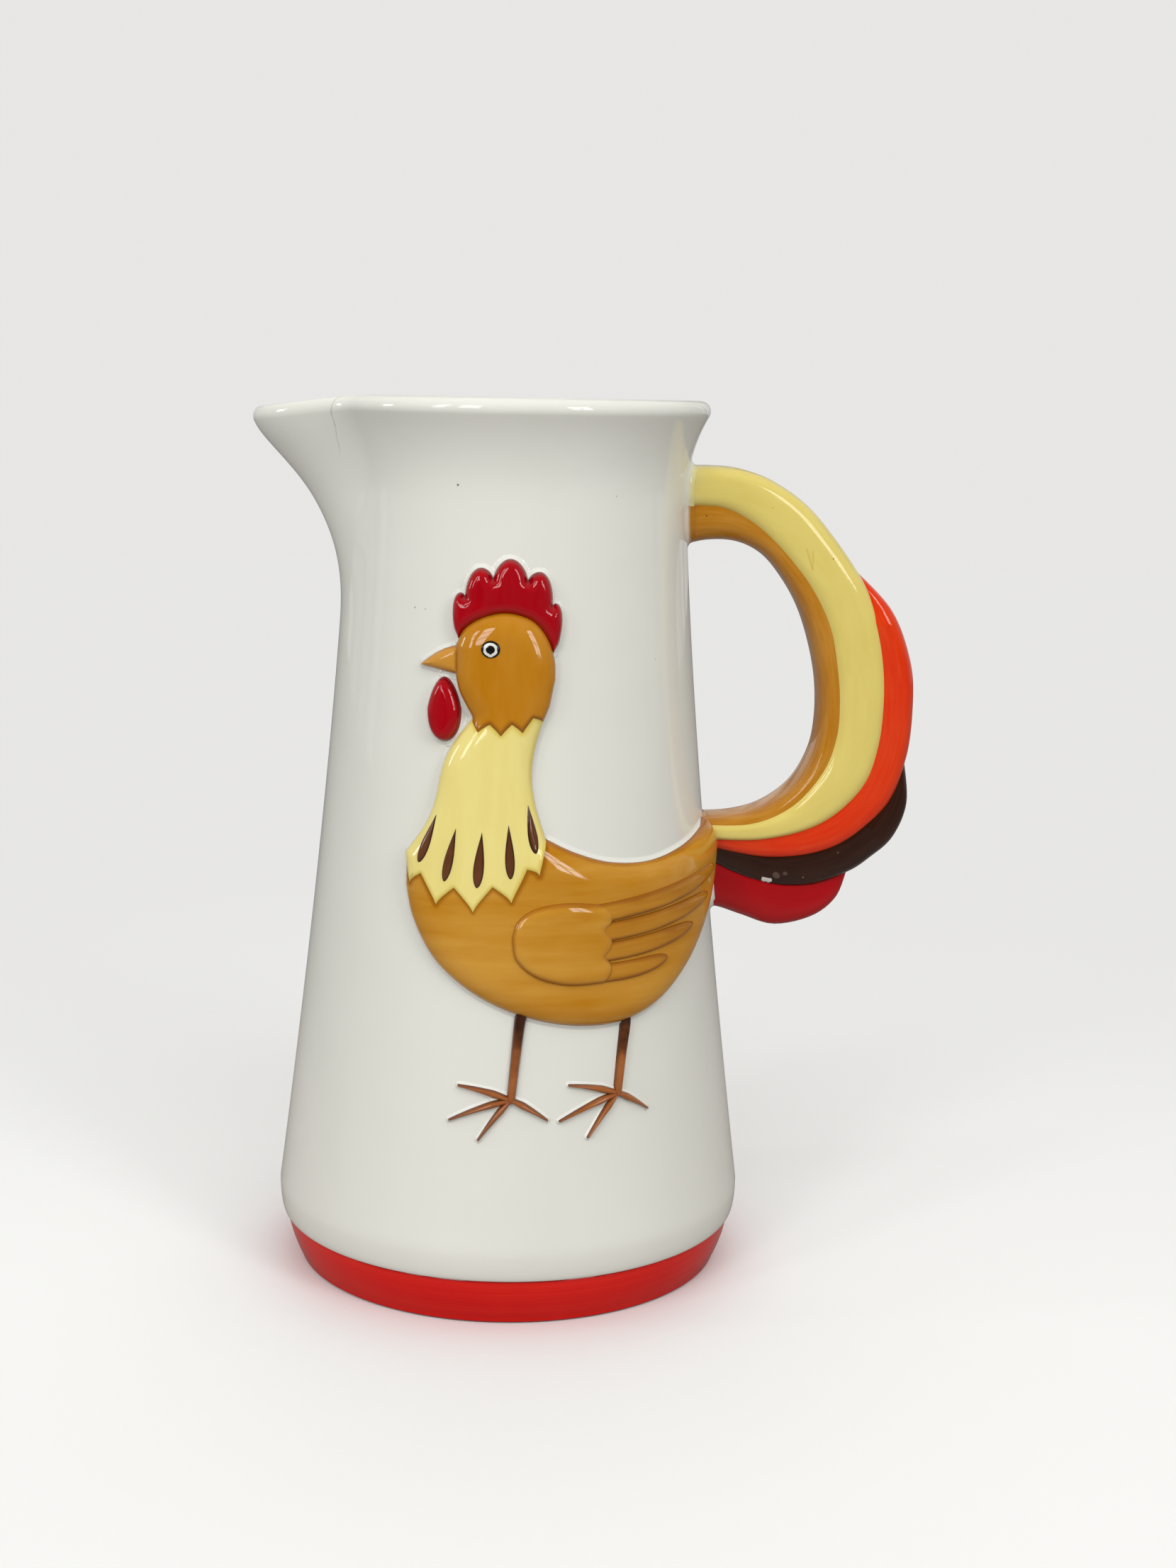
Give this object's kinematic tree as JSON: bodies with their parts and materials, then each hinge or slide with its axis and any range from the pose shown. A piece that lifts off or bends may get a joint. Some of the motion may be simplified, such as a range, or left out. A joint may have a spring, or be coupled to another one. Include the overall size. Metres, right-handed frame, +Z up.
{
  "type": "pitcher",
  "caption": "Tapered round ceramic pitcher with a pulled spout, a rooster in relief on each side and a curved handle built up from tail feathers.",
  "frame": {"origin": "centre of the foot, on the surface that the pitcher stands on", "axes": "+Z up, the spout points to -X and the handle to +X, and the pictured side faces -Y"},
  "size_m": [0.1641, 0.1172, 0.216],
  "materials": {
    "white_glaze": "glossy clear glaze over white earthenware",
    "red_glaze": "brushed-on red, glossy",
    "ochre_glaze": "brushed-on ochre, glossy",
    "yellow_glaze": "pale yellow, glossy",
    "orange_glaze": "orange red, glossy",
    "brown_glaze": "very dark brown, glossy",
    "crimson_glaze": "crimson, glossy",
    "beak_glaze": "light ochre, glossy",
    "leg_glaze": "brown, glossy",
    "eye_glaze": "black, glossy"
  },
  "bodies": {
    "root": {"body_shell": "white_glaze", "pouring_spout": "white_glaze", "foot_band": "red_glaze", "handle_inner_strand": "ochre_glaze", "yellow_feather": "yellow_glaze", "orange_feather": "orange_glaze", "brown_feather": "brown_glaze", "red_feather": "crimson_glaze", "rooster_body": "ochre_glaze", "wing_shoulder": "ochre_glaze", "wing_quills": "ochre_glaze", "rooster_neck": "yellow_glaze", "neck_flecks": "leg_glaze", "rooster_head": "ochre_glaze", "rooster_eye": "eye_glaze", "rooster_beak": "beak_glaze", "rooster_comb": "crimson_glaze", "rooster_wattle": "crimson_glaze", "rooster_legs": "leg_glaze", "rooster_toes": "leg_glaze"}
  },
  "joints": []
}
